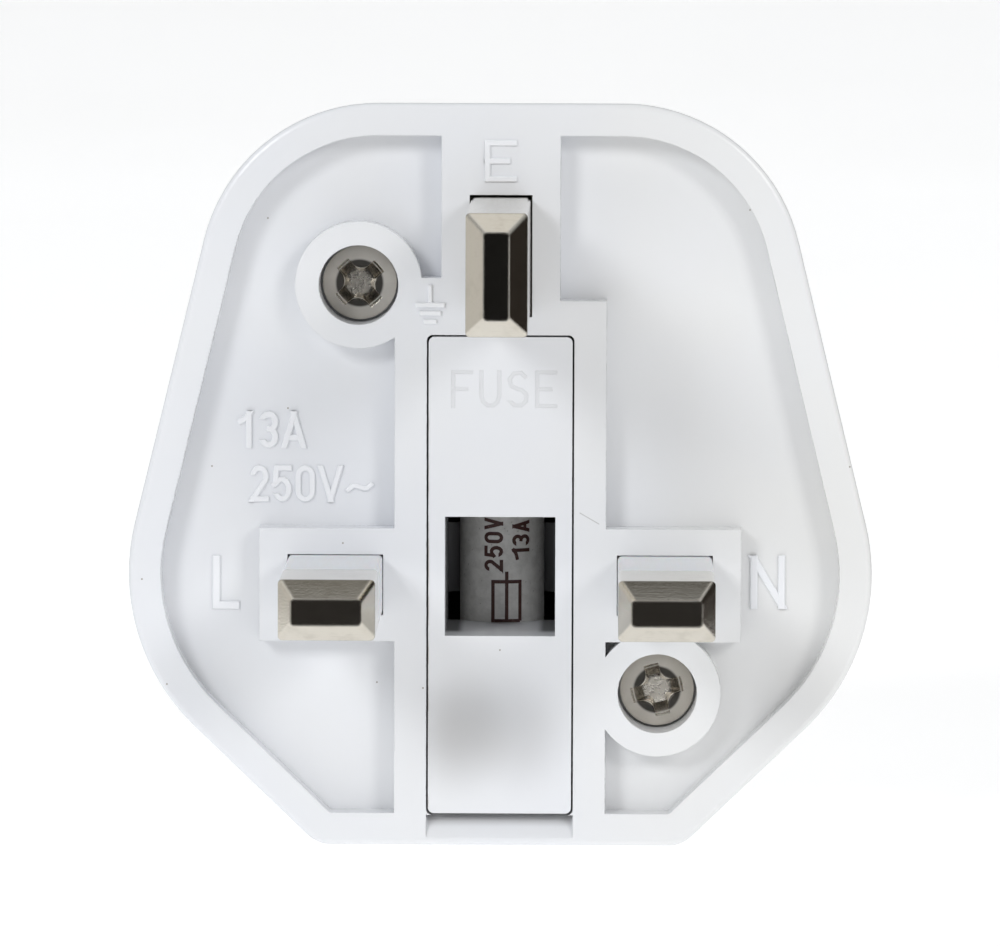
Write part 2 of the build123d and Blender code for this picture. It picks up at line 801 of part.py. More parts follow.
# Contact plate: an insulating wall with the outlet's apertures, and cradles for the contacts
with BuildPart() as contact_plate:
    with BuildSketch(at_depth(plate_back)) as plate:
        draw_outline(plate, plate_back, wall + seat_gap)
    extrude(amount=plate_thickness)
    with BuildSketch(at_depth(plate_depth)):
        for side in (-1, 1):
            cradle_x = contact_web_x + sheet + seat_gap
            cradle_low_z = outlet_z - web_reach - seat_gap - cradle_wall
            outer_x = cradle_x + cradle_wall
            draw_span(*sorted((side * cradle_x, side * outer_x)), cradle_low_z, outlet_z)
            draw_span(
                *sorted((side * leaf_inner_x, side * outer_x)),
                cradle_low_z,
                cradle_low_z + cradle_wall,
            )
    extrude(amount=cradle_reach)
    with BuildSketch(at_depth(plate_depth)):
        for clip_z in (line_clip_z, load_clip_z):
            draw_span(-clip_rib_half_width, clip_rib_half_width, clip_z, clip_z + clip_height)
    extrude(amount=plate_depth - clip_base_depth - sheet)
    with BuildSketch(at_depth(plate_back)):
        draw_apertures(plate_aperture_margin)
        with Locations(upper_screw_place, lower_screw_place):
            Circle(pillar_r + seat_gap)
        with Locations(*post_places):
            Circle(stake_r + thread_gap)
    extrude(amount=plate_thickness, mode=Mode.SUBTRACT)
finish(contact_plate, "contact_plate")

# Shutter: a slide whose ramps are pushed down by a pair of entering pins
with BuildPart() as shutter:
    with BuildSketch(along_depth(0)):
        with BuildLine():
            Polyline(
                (shutter_front, shutter_low_z),
                (shutter_back, shutter_low_z),
                (shutter_back, shutter_low_z + shutter_leading_land),
                (shutter_front + shutter_thin, shutter_high_z),
                (shutter_front, shutter_high_z),
                close=True,
            )
        make_face()
    extrude(amount=shutter_half_width, both=True)
    with BuildSketch(at_depth(shutter_front)):
        draw_span(
            -shutter_spine_half_width, shutter_spine_half_width, shutter_low_z, shutter_high_z
        )
    extrude(amount=-(shutter_back - shutter_front))
    pocket_half_width = spring_r + spring_wire_r + spring_pocket_gap
    pocket_top_z = shutter_low_z + spring_pocket_height
    with BuildSketch(at_depth(shutter_front)):
        draw_span(-pocket_half_width, pocket_half_width, shutter_low_z, pocket_top_z)
    extrude(amount=-(shutter_back - shutter_front), mode=Mode.SUBTRACT)
finish(shutter, "shutter")

# Return spring, standing on the housing's seat and reaching into the shutter's pocket
spring_low_z = spring_seat_z + spring_wire_r + spring_end_gap
spring_high_z = pocket_top_z - spring_wire_r - spring_end_gap
spring_depth = (shutter_front + shutter_back) / 2
spring_height = spring_high_z - spring_low_z
with BuildPart() as shutter_spring:
    with BuildLine() as coil:
        Helix(
            pitch=spring_height / spring_turns,
            height=spring_height,
            radius=spring_r,
            center=(0, spring_depth, spring_low_z),
        )
    with BuildSketch(coil.line ^ 0):
        Circle(spring_wire_r)
    sweep(path=coil.line)
finish(shutter_spring, "shutter_spring")
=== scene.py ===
# %% [markdown]
# # A fused three-pin travel adapter, dressed lesson by lesson
#
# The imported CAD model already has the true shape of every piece, from the housing shells
# down to the fuse and the return spring of the shutter. What it lacks is everything that
# makes a small moulding look real: the soft gloss of white plastic, the streaks of plated
# pins, raised letters, print on the fuse and a little dirt in the seams. Each cell below
# adds one of those, and says what it is on the real object before it builds it.

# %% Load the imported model
from math import cos, pi, radians, sin

import bpy
from mathutils import Matrix, Vector


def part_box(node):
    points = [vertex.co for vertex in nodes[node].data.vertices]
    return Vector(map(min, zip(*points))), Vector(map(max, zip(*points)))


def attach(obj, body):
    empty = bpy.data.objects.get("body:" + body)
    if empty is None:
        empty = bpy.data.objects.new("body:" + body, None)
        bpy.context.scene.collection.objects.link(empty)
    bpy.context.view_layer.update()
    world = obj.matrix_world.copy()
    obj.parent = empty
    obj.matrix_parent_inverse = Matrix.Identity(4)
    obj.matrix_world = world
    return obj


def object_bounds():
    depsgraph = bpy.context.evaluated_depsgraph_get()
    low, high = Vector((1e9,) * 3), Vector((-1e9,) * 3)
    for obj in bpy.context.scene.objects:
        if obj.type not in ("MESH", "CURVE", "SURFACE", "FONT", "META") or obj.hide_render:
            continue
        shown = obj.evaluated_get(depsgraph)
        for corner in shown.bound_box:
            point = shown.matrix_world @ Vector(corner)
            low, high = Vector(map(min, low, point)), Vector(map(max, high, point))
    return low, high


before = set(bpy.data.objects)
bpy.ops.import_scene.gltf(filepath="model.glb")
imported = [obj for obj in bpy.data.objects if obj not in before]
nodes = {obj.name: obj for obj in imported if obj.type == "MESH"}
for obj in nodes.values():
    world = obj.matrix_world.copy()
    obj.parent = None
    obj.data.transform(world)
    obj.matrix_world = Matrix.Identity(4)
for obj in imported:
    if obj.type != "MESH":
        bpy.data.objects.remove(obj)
cad_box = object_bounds()
MM = 0.001
print("pieces in the frame:", len(nodes))

# %% [markdown]
# ## Places that later cells share
#
# The row frame has its origin between the live and neutral pins, on the face that meets
# the wall. X runs right, Z up, and a depth into the body runs along Y. The CAD pieces know
# their own places, so the places here are read from their boxes. Only the depth of the
# face's recess is a plain number, because the recess is cut inside a larger piece. Box
# corners come in metres, and millimetres read better for so small an object.


# %% Read the places
def box_mm(name):
    """Lowest and highest corner of a CAD node, in millimetres."""
    low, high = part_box(name)
    return low / MM, high / MM


carrier_low, carrier_high = box_mm("fuse_carrier")
fuse_low, fuse_high = box_mm("fuse_body")
fuse_r = (fuse_high.x - fuse_low.x) / 2
fuse_axis_depth = (fuse_high.y + fuse_low.y) / 2
recess_depth = 2.0
print("fuse is", round(2 * fuse_r, 2), "mm thick, on a line", round(fuse_axis_depth, 2), "mm in")

# %% [markdown]
# ## Shader arithmetic that reads like arithmetic
#
# A procedural finish is mostly small sums: take a distance, compare it with a radius,
# multiply by a mask. Placing Math nodes by hand hides those sums, so one small class wraps
# an output socket and turns Python operators into nodes. Numbers become Math nodes, vectors
# become Vector Math nodes, and a sum of plain Python numbers never reaches the shader.


# %% Wrap a socket
class Wire:
    """An output socket of a node tree, with arithmetic that adds nodes."""

    def __init__(self, board, socket):
        self.board = board
        self.socket = socket

    def sum_node(self, operation, *values):
        if self.socket.type == "VECTOR":
            return self.board.vector_math(operation, *values)
        return self.board.math(operation, *values)

    def __add__(self, other):
        return self.sum_node("ADD", self, other)

    def __radd__(self, other):
        return self.sum_node("ADD", other, self)

    def __sub__(self, other):
        return self.sum_node("SUBTRACT", self, other)

    def __rsub__(self, other):
        return self.sum_node("SUBTRACT", other, self)

    def __mul__(self, other):
        return self.sum_node("MULTIPLY", self, other)

    def __rmul__(self, other):
        return self.sum_node("MULTIPLY", other, self)

    def __truediv__(self, other):
        return self.sum_node("DIVIDE", self, other)

    def __rtruediv__(self, other):
        return self.sum_node("DIVIDE", other, self)

    def __abs__(self):
        return self.sum_node("ABSOLUTE", self)


# %% [markdown]
# ## A board to wire nodes on
#
# Materials and the light of the room are both node trees. The class below holds one and
# gives one method that adds any node: its settings go first, because they can change which
# sockets it has, and then its values and wires. The few nodes that every finish repeats,
# such as a colour mix, a smooth ramp or a noise, get a short method each on top of it.


# %% Wire nodes
class Board:
    """A node tree, and the nodes that are added to it."""

    def __init__(self, tree):
        self.tree = tree

    def node(self, kind, settings=None, inlets=None, outlet=0):
        """Add a node by its type, settings and sockets, and wrap the outlet that is asked for."""
        node = self.tree.nodes.new(kind)
        for name, value in (settings or {}).items():
            setattr(node, name, value)
        for name, value in (inlets or {}).items():
            self.plug(node.inputs[name], value)
        if outlet is None:
            return node
        return Wire(self, node.outputs[outlet])

    def plug(self, socket, value):
        """Link a wire to a socket, or set the socket's own value."""
        if isinstance(value, Wire):
            self.tree.links.new(value.socket, socket)
        elif socket.type == "RGBA" and len(value) == 3:
            socket.default_value = (*value, 1.0)
        else:
            socket.default_value = value

    def math(self, operation, *values):
        return self.node("ShaderNodeMath", {"operation": operation}, dict(enumerate(values)))

    def vector_math(self, operation, *values):
        return self.node("ShaderNodeVectorMath", {"operation": operation}, dict(enumerate(values)))

    def split(self, vector):
        """The X, Y and Z of a vector."""
        parts = self.node("ShaderNodeSeparateXYZ", inlets={"Vector": vector}, outlet=None)
        return [Wire(self, socket) for socket in parts.outputs]

    def vector(self, x, y, z):
        return self.node("ShaderNodeCombineXYZ", inlets={"X": x, "Y": y, "Z": z})

    def length(self, vector):
        return self.node(
            "ShaderNodeVectorMath", {"operation": "LENGTH"}, {0: vector}, outlet="Value"
        )

    def mix(self, mask, first, second):
        """Colour that goes from the first to the second as the mask goes from 0 to 1."""
        settings = {"data_type": "RGBA", "clamp_factor": True}
        inlets = {0: mask, 6: first, 7: second}
        return self.node("ShaderNodeMix", settings, inlets, outlet=2)

    def ramp(self, value, low, high, start=0.0, end=1.0):
        """Value that runs from start to end, smoothly, while the input goes from low to high."""
        return self.node(
            "ShaderNodeMapRange",
            {"interpolation_type": "SMOOTHSTEP"},
            {"Value": value, "From Min": low, "From Max": high, "To Min": start, "To Max": end},
        )

    def noise(self, place, scale, detail=3.0, roughness=0.55):
        return self.node(
            "ShaderNodeTexNoise",
            inlets={"Vector": place, "Scale": scale, "Detail": detail, "Roughness": roughness},
        )

    def lesser(self, first, second):
        return self.math("MINIMUM", first, second)

    def greater(self, first, second):
        return self.math("MAXIMUM", first, second)


# %% [markdown]
# ## A finish under construction
#
# Every material here is a Principled shader with a few things plugged into it. Places come
# from object coordinates, which are the row frame itself, so a speck of dirt can be put
# where the real one is, and it stays there when the fuse carrier slides out. Moulded and
# plated edges are never knife sharp. Rounding each of them in the mesh would cost many
# faces, so a Bevel node turns the normals there instead, and the edge catches the light.


# %% Build finishes
bevel_rays = 2


class Finish(Board):
    """A material, and the sums that feed its shader."""

    def __init__(self, name):
        self.material = bpy.data.materials.new(name)
        self.material.use_nodes = True
        super().__init__(self.material.node_tree)
        self.shader = self.tree.nodes["Principled BSDF"]
        coordinates = self.node("ShaderNodeTexCoord", outlet="Object")
        self.place = coordinates * (1 / MM, 1 / MM, 1 / MM)
        self.x, self.y, self.z = self.split(self.place)

    def cover(self, colour, roughness, bump=None, edge_r=0.12, **constants):
        """Plug the shader, with edges rounded in shading by a radius in millimetres."""
        self.plug(self.shader.inputs["Base Color"], colour)
        self.plug(self.shader.inputs["Roughness"], roughness)
        edge = self.node("ShaderNodeBevel", {"samples": bevel_rays}, {"Radius": edge_r * MM})
        normal = edge
        if bump is not None:
            height, depth = bump
            normal = self.node(
                "ShaderNodeBump",
                inlets={"Height": height, "Distance": depth * MM, "Strength": 1.0, "Normal": edge},
            )
        self.plug(self.shader.inputs["Normal"], normal)
        for name, value in constants.items():
            self.plug(self.shader.inputs[name.replace("_", " ")], value)
        print(self.material.name, "has", len(self.tree.nodes), "nodes")
        return self.material


def dress(material, *names):
    """Give a finish to every face of some CAD pieces."""
    for name in names:
        mesh = nodes[name].data
        mesh.materials.clear()
        mesh.materials.append(material)


# %% [markdown]
# ## White plastic of the shells
#
# The shells are injection moulded in a hard, glossy, cool white urea-like plastic. Up close
# it isn't one white: the gloss is broken by an orange peel a thousandth of a millimetre high,
# the colour drifts a little, and specks of dust sit where they settled. The plastic is filled
# so densely that hardly any light enters it, and it needs no subsurface share. The specks
# could be an image, but a few circles at named places are sharper and keep their size from
# any distance. They lie on the front alone, on the rim and on the floor of the recess.

# %% Specks, a hair and general dust
COOL_WHITE = (0.80, 0.815, 0.85)
WARM_WHITE = (0.83, 0.825, 0.80)
DUST_BROWN = (0.20, 0.145, 0.09)
# Grey of real dust, also used for painted shade and painted shadows.
DUST_AND_SHADE_GREY = (0.30, 0.29, 0.28)
speck_r = 0.075
speck_strength = 0.75
dust_strength = 0.10
face_specks = [
    (-15.75, 24.62), (-19.53, 7.82), (-14.39, 11.77), (-10.60, 2.82), (-24.16, 0.32),
    (-22.48, -6.80), (-8.35, -6.84), (-5.18, -6.99), (16.74, 25.28), (23.52, 8.11),
]
carrier_specks = [(0.01, -4.39)]
hair_from = (5.37, 4.92)
hair_to = (6.65, 4.18)
hair_strength = 0.5


def spots(finish, places, radius):
    """Mask of small round marks at places on the front, given as X and Z."""
    mask = None
    for x, z in places:
        gap = finish.length(finish.vector(finish.x - x, 0.0, finish.z - z))
        spot = finish.ramp(gap, radius * 0.5, radius, 1.0, 0.0)
        mask = spot if mask is None else finish.greater(mask, spot)
    on_face = finish.ramp(finish.y, 0.25, 0.35, 1.0, 0.0)
    on_floor = finish.ramp(abs(finish.y - recess_depth), 0.2, 0.3, 1.0, 0.0)
    return mask * finish.greater(on_face, on_floor)


def stroke_gap(finish, start, end):
    """Distance on the front from a straight stroke between two places, given as X and Z."""
    run = (end[0] - start[0], end[1] - start[1])
    length_squared = run[0] ** 2 + run[1] ** 2
    from_x = finish.x - start[0]
    from_z = finish.z - start[1]
    along = (from_x * run[0] + from_z * run[1]) / length_squared
    share = finish.lesser(finish.greater(along, 0.0), 1.0)
    return finish.length(finish.vector(from_x - share * run[0], 0.0, from_z - share * run[1]))


def white_plastic(name, specks, warm_side=0.0):
    """Start a white finish, and return it with its colour and its height before dirt."""
    finish = Finish(name)
    drift = finish.noise(finish.place, 0.07, 2.0)
    tone = finish.ramp(drift, 0.30, 0.70, 0.0, 0.25)
    if warm_side:
        tone = tone + finish.ramp(finish.x, -5.0, 22.0, 0.0, warm_side)
    colour = finish.mix(tone, COOL_WHITE, WARM_WHITE)
    if specks:
        colour = finish.mix(spots(finish, specks, speck_r) * speck_strength, colour, DUST_BROWN)
    grain = finish.noise(finish.place, 9.0, 2.0, 0.6)
    dust_and_shade = finish.ramp(grain, 0.70, 0.78, 0.0, dust_strength)
    colour = finish.mix(dust_and_shade, colour, DUST_AND_SHADE_GREY)
    peel = finish.noise(finish.place, 1.1, 2.0)
    return finish, colour, peel


print(len(face_specks) + len(carrier_specks), "specks and a hair on the front")

# %% [markdown]
# ## Dirt in the seam of the fuse carrier, and a painted shadow in the notch
#
# Handling leaves a brown line in the seam between the carrier and the housing, strongest on
# the left and from the FUSE mark down, with a trace on the right. It sits in the corner and
# not on the face, so the mask is a thin band along the seam, broken up by noise stretched
# along it. The pry notch gets a painted grey shadow close under the carrier's foot, and one
# short hair lies to the right of the window.

# %% Seam dirt and the painted notch shadow
seam_dirt_width = 0.10
seam_dirt_top = 8.0
seam_dirt_strength = 0.7
right_seam_share = 0.2
notch_shadow_reach = 1.0
notch_shadow_strength = 0.5


def seam_dirt(finish):
    """Mask of the dirt along the left seam of the carrier, and a trace of it on the right."""
    along = finish.noise(finish.place * (0.6, 0.2, 0.35), 1.0, 4.0, 0.7)
    left = abs(finish.x - carrier_low.x)
    right = abs(finish.x - carrier_high.x)
    band = finish.ramp(left, 0.0, seam_dirt_width, 1.0, 0.0)
    faint = finish.ramp(right, 0.0, seam_dirt_width * 0.4, right_seam_share, 0.0)
    reach = finish.ramp(finish.z, seam_dirt_top, carrier_high.z, 1.0, 0.0)
    foot = finish.ramp(finish.z, carrier_low.z - 0.1, carrier_low.z, 0.0, 1.0)
    shallow = finish.ramp(finish.y, 0.2, 1.5, 1.0, 0.0)
    return (band + faint) * finish.ramp(along, 0.38, 0.62) * reach * foot * shallow


def notch_painted_shadow(finish):
    """Mask of a painted shadow in the pry notch, between the carrier's sides, under its foot."""
    low, side = carrier_low.z, carrier_high.x
    dust_and_shade = finish.ramp(
        finish.z, low - notch_shadow_reach, low - notch_shadow_reach / 2, 0.0, notch_shadow_strength
    )
    dust_and_shade = dust_and_shade * finish.ramp(finish.z, low, low + 0.1, 1.0, 0.0)
    dust_and_shade = dust_and_shade * finish.ramp(abs(finish.x), side, side + 0.1, 1.0, 0.0)
    return dust_and_shade * finish.ramp(finish.y, 0.02, 0.1)


# %% Plastic of the housing
finish, colour, peel = white_plastic("housing_white", face_specks, warm_side=0.45)
colour = finish.mix(seam_dirt(finish) * seam_dirt_strength, colour, DUST_BROWN)
# Painted shadow under the carrier's foot, in the pry notch.
colour = finish.mix(notch_painted_shadow(finish), colour, DUST_AND_SHADE_GREY)
hair = finish.ramp(stroke_gap(finish, hair_from, hair_to), 0.015, 0.05, hair_strength, 0.0)
hair = hair * finish.ramp(finish.y, 0.1, 0.2, 1.0, 0.0)
colour = finish.mix(hair, colour, DUST_AND_SHADE_GREY)
gloss = finish.ramp(finish.noise(finish.place, 0.3, 3.0), 0.3, 0.7, 0.22, 0.27)
housing_white = finish.cover(colour, gloss, bump=(peel, 0.0015), edge_r=0.09, IOR=1.5)
dress(housing_white, "base_housing", "socket_housing")

# %% [markdown]
# ## Fuse carrier
#
# The carrier is moulded from the same plastic in another tool, so it is a touch bluer. Two soft
# grey patches on its lower half are painted shadows of the live and neutral pins, and they move
# out with it. The walls deep inside its window get painted shade.

# %% Plastic of the carrier
WINDOW_SHADE = (0.05, 0.047, 0.045)
# Painted shadows of the live and neutral pins: X, Z, reach and strength of each.
painted_pin_shadows = ((-2.9, -10.1, 4.3, 0.42), (1.5, -10.2, 4.2, 0.24))
pin_shadow_squash = 0.85
finish, colour, peel = white_plastic("carrier_white", carrier_specks)
on_face = finish.ramp(finish.y, 0.3, 0.5, 1.0, 0.0)
colour = finish.mix(seam_dirt(finish) * seam_dirt_strength, colour, DUST_BROWN)
painted_pin_shadow = 0.0
for x, z, reach, strength in painted_pin_shadows:
    gap = finish.length(finish.vector(finish.x - x, 0.0, (finish.z - z) * pin_shadow_squash))
    painted_pin_shadow = painted_pin_shadow + finish.ramp(gap, 0.2, reach, strength, 0.0)
colour = finish.mix(painted_pin_shadow * on_face, colour, DUST_AND_SHADE_GREY)
# Painted shade that darkens the walls deeper inside the window.
painted_window_shade = finish.ramp(finish.y, 1.6, 4.0, 0.0, 0.7) * finish.ramp(abs(finish.x), 2.4, 3.0)
colour = finish.mix(painted_window_shade, colour, WINDOW_SHADE)
carrier_white = finish.cover(colour, 0.22, bump=(peel, 0.001), edge_r=0.05, IOR=1.5)
dress(carrier_white, "fuse_carrier")

# %% [markdown]
# ## Pin sleeves and the shutter
#
# The sleeves on the live and neutral pins are a softer, slightly translucent nylon, and the
# shutter is a waxy acetal that has to slide. Both are white, but neither has the hard shine
# of the shells, so they get their own gloss and their own grain: fine drawn lines along the
# sleeves, and a sliding sheen on the shutter.

# %% Sleeves and shutter
finish = Finish("sleeve_white")
drawn = finish.noise(finish.place * (4.0, 0.25, 4.0), 1.0, 3.0)
colour = finish.mix(finish.ramp(drawn, 0.3, 0.7, 0.0, 0.35), COOL_WHITE, WARM_WHITE)
scuff = finish.ramp(finish.noise(finish.place, 2.5, 4.0, 0.7), 0.62, 0.75, 0.0, 0.12)
colour = finish.mix(scuff, colour, DUST_AND_SHADE_GREY)
sleeve_white = finish.cover(
    colour, finish.ramp(drawn, 0.3, 0.7, 0.34, 0.46), bump=(drawn, 0.008), edge_r=0.08,
    Subsurface_Weight=0.2, Subsurface_Scale=0.0012, IOR=1.53,
)
dress(sleeve_white, "live_pin_sleeve", "neutral_pin_sleeve")

ACETAL_WHITE = (0.78, 0.78, 0.77)
ACETAL_RUBBED = (0.66, 0.65, 0.62)
finish = Finish("shutter_white")
rubbed = finish.noise(finish.place * (3.0, 1.0, 0.3), 1.0, 4.0, 0.6)
colour = finish.mix(finish.ramp(rubbed, 0.35, 0.7, 0.0, 0.4), ACETAL_WHITE, ACETAL_RUBBED)
shutter_white = finish.cover(
    colour, finish.ramp(rubbed, 0.3, 0.7, 0.30, 0.44), bump=(rubbed, 0.006), edge_r=0.12,
    Subsurface_Weight=0.15, Subsurface_Scale=0.001, IOR=1.48,
)
dress(shutter_white, "shutter")

# %% [markdown]
# ## Plated pins
#
# The pins are brass under bright nickel. What tells nickel from chrome is its warm tint,
# and what tells a used pin from a new one is the fine scratches along the way it is pushed.
# Both come from noise pulled out along Y. The end faces are cut and then plated, so they
# carry short tool marks across, seen in the photograph as streaks on the flat ends.

# %% Nickel of the pins
NICKEL = (0.64, 0.605, 0.535)
NICKEL_DARK = (0.46, 0.425, 0.36)
NICKEL_BRIGHT = (0.78, 0.74, 0.67)
finish = Finish("pin_nickel")
drawn = finish.noise(finish.place * (7.0, 0.35, 7.0), 1.0, 4.0, 0.65)
across = finish.noise(finish.place * (0.5, 6.0, 6.0), 1.0, 4.0, 0.65)
worn = finish.noise(finish.place, 0.8, 3.0)
colour = finish.mix(finish.ramp(worn, 0.45, 0.75, 0.0, 0.35), NICKEL, NICKEL_DARK)
colour = finish.mix(finish.ramp(across, 0.55, 0.75, 0.0, 0.35), colour, NICKEL_DARK)
gloss = finish.ramp(drawn, 0.3, 0.7, 0.05, 0.11)
pin_nickel = finish.cover(
    colour, gloss, bump=(drawn + across * 0.6, 0.003), edge_r=0.22, Metallic=1.0,
)
dress(pin_nickel, "live_pin", "neutral_pin", "earth_pin")

# %% [markdown]
# ## Screws
#
# Each screw has a bright domed head with a cross recess. Tightening it burnished the mouth
# of the recess to a bright line, and its walls and floor stayed dull and dirty. All of this
# follows the depth below the dome, worked out from the dome's own arc, which fits both
# screws at once. The middle of the real head is flatter than an arc, so it mirrors the dark
# side of the studio there: a dark reflection is painted into the plating inside that circle.

# %% Nickel of the screws
screw_boxes = [box_mm("housing_screw_upper"), box_mm("housing_screw_lower")]
screw_crown = screw_boxes[0][0].y
head_r = (screw_boxes[0][1].x - screw_boxes[0][0].x) / 2
head_edge = 1.0
dome_r = (head_r**2 + head_edge**2) / (2 * head_edge)
mirror_r = 1.6
mirror_strength = 0.93
RECESS_DIRT = (0.16, 0.14, 0.11)
MIRRORED_DARK = (0.03, 0.027, 0.024)
BURNISHED = (0.92, 0.90, 0.86)
finish = Finish("screw_nickel")
off_axis = None
for low, high in screw_boxes:
    middle = (low + high) / 2
    gap = finish.length(finish.vector(finish.x - middle.x, 0.0, finish.z - middle.z))
    off_axis = gap if off_axis is None else finish.lesser(off_axis, gap)
sag = dome_r - finish.math("SQRT", dome_r**2 - off_axis * off_axis)
below = finish.y - screw_crown - sag
on_dome = finish.ramp(below, 0.05, 0.10, 1.0, 0.0)
# A painted reflection of the dark side of the studio, inside a circle on the dome.
mirror = finish.ramp(off_axis, mirror_r - 0.1, mirror_r + 0.1, mirror_strength, 0.0) * on_dome
grime = finish.noise(finish.place, 3.0, 4.0, 0.7)
walls = finish.ramp(below, 0.1, 0.5, 0.0, 1.0) * finish.ramp(off_axis, 0.7, 1.0, 0.3, 1.0)
dirt = walls * finish.ramp(grime, 0.35, 0.65, 0.3, 0.8)
colour = finish.mix(dirt, NICKEL_BRIGHT, RECESS_DIRT)
colour = finish.mix(mirror, colour, MIRRORED_DARK)
burnish = (1.0 - on_dome) * finish.ramp(below, 0.16, 0.26, 1.0, 0.0)
colour = finish.mix(burnish, colour, BURNISHED)
pressed_floor = finish.ramp(below, 0.5, 0.8) * finish.ramp(off_axis, 0.75, 1.05, 1.0, 0.0)
gloss = finish.ramp(grime, 0.35, 0.7, 0.10, 0.26) + burnish * 0.3 + pressed_floor * 0.12
dents = grime * (1.0 + pressed_floor * 3.0)
screw_nickel = finish.cover(colour, gloss, bump=(dents, 0.012), edge_r=0.10, Metallic=1.0)
dress(screw_nickel, "housing_screw_upper", "housing_screw_lower")
print("screw heads are", round(2 * head_r, 2), "mm wide, domed to", round(dome_r, 2), "mm radius")

# %% [markdown]
# ## Cartridge fuse
#
# The fuse tube is unglazed ceramic: matt, chalky and pitted, a little grey from handling.
# Noise alone would make soft clouds and no pits, so the pits come from a Voronoi texture,
# whose distance to the nearest point is small only in scattered dots. The caps are drawn
# metal, plated like the pins but thinner and rougher, with marks that run round them.

# %% Ceramic and caps
CERAMIC_PALE = (0.78, 0.77, 0.74)
CERAMIC_GREY = (0.64, 0.63, 0.60)
PIT_GREY = (0.22, 0.20, 0.18)
CAP_BRIGHT = (0.66, 0.62, 0.55)
CAP_DULL = (0.47, 0.42, 0.34)
finish = Finish("fuse_ceramic")
chalk = finish.noise(finish.place, 1.4, 5.0, 0.65)
colour = finish.mix(finish.ramp(chalk, 0.35, 0.7), CERAMIC_PALE, CERAMIC_GREY)
pit_field = finish.node(
    "ShaderNodeTexVoronoi", {"feature": "F1"}, {"Vector": finish.place, "Scale": 2.4}, "Distance"
)
pits = finish.ramp(pit_field, 0.05, 0.14, 1.0, 0.0)
colour = finish.mix(pits * 0.5, colour, PIT_GREY)
fuse_ceramic = finish.cover(colour, 0.62, bump=(chalk - pits, 0.03), edge_r=0.1)
dress(fuse_ceramic, "fuse_body")

finish = Finish("fuse_cap_metal")
turned = finish.noise(finish.place * (0.4, 0.4, 8.0), 1.0, 4.0, 0.6)
colour = finish.mix(finish.ramp(turned, 0.35, 0.7, 0.0, 0.7), CAP_BRIGHT, CAP_DULL)
fuse_cap_metal = finish.cover(
    colour, finish.ramp(turned, 0.3, 0.7, 0.18, 0.36), bump=(turned, 0.01), edge_r=0.15,
    Metallic=1.0,
)
dress(fuse_cap_metal, "fuse_cap_lower", "fuse_cap_upper")

# %% [markdown]
# ## Inner metal and the contact plate
#
# The contacts and clips are rolled brass sheet, dulled to brown where it was bent, and the
# plate that holds them is a grey glass-filled moulding. Nobody sees them with the adapter
# shut, but they show through the apertures when a pin pushes the shutter down, and in any
# view that takes the object apart. One noise per metal is pulled out along the way it was
# rolled or drawn, because that direction is what the eye reads as sheet or as wire.

# %% Brass, grey plate and spring wire
BRASS = (0.72, 0.52, 0.22)
BRASS_TARNISHED = (0.38, 0.24, 0.11)
PLATE_GREY = (0.16, 0.17, 0.18)
PLATE_FIBRE = (0.25, 0.26, 0.27)
STEEL_BRIGHT = (0.52, 0.52, 0.53)
STEEL_DULL = (0.33, 0.33, 0.34)
finish = Finish("contact_brass")
rolled = finish.noise(finish.place * (0.6, 5.0, 5.0), 1.0, 4.0, 0.6)
tarnish = finish.noise(finish.place, 0.6, 4.0, 0.6)
colour = finish.mix(finish.ramp(tarnish, 0.42, 0.7, 0.0, 0.8), BRASS, BRASS_TARNISHED)
contact_brass = finish.cover(
    colour, finish.ramp(tarnish, 0.35, 0.7, 0.22, 0.42), bump=(rolled, 0.006), edge_r=0.08,
    Metallic=1.0,
)
dress(
    contact_brass,
    "live_contact", "neutral_contact", "earth_contact", "load_fuse_clip", "line_fuse_clip",
)

finish = Finish("plate_grey")
fibres = finish.noise(finish.place * (1.0, 3.0, 6.0), 1.0, 5.0, 0.7)
colour = finish.mix(finish.ramp(fibres, 0.35, 0.68), PLATE_GREY, PLATE_FIBRE)
plate_grey = finish.cover(
    colour, finish.ramp(fibres, 0.3, 0.7, 0.48, 0.66), bump=(fibres, 0.02), edge_r=0.12
)
dress(plate_grey, "contact_plate")

finish = Finish("spring_steel")
wire_marks = finish.noise(finish.place * (5.0, 5.0, 1.5), 1.0, 4.0, 0.6)
colour = finish.mix(finish.ramp(wire_marks, 0.35, 0.7), STEEL_BRIGHT, STEEL_DULL)
spring_steel = finish.cover(
    colour, finish.ramp(wire_marks, 0.3, 0.7, 0.2, 0.34), bump=(wire_marks, 0.006), edge_r=0.05,
    Metallic=1.0,
)
dress(spring_steel, "shutter_spring")

# %% [markdown]
# ## An alphabet of strokes
#
# The adapter carries plain letters: raised ones in the housing, a stamped word on the carrier
# and brown print on the fuse. A text object would bring a typeface of its own, so each letter
# here is a few strokes in a unit square, and all three kinds are laid along them. The strokes
# of one letter are separate lines, so that a corner can be mitred and a crossing needn't be.
# Only markings that any such plug has are made.

# %% Strokes of the letters
def arc(centre, radius, from_degrees, to_degrees, steps=6):
    """Points along an arc, for a letter drawn in strokes."""
    turn = (to_degrees - from_degrees) / steps
    angles = [radians(from_degrees + step * turn) for step in range(steps + 1)]
    return [(centre[0] + radius[0] * cos(a), centre[1] + radius[1] * sin(a)) for a in angles]


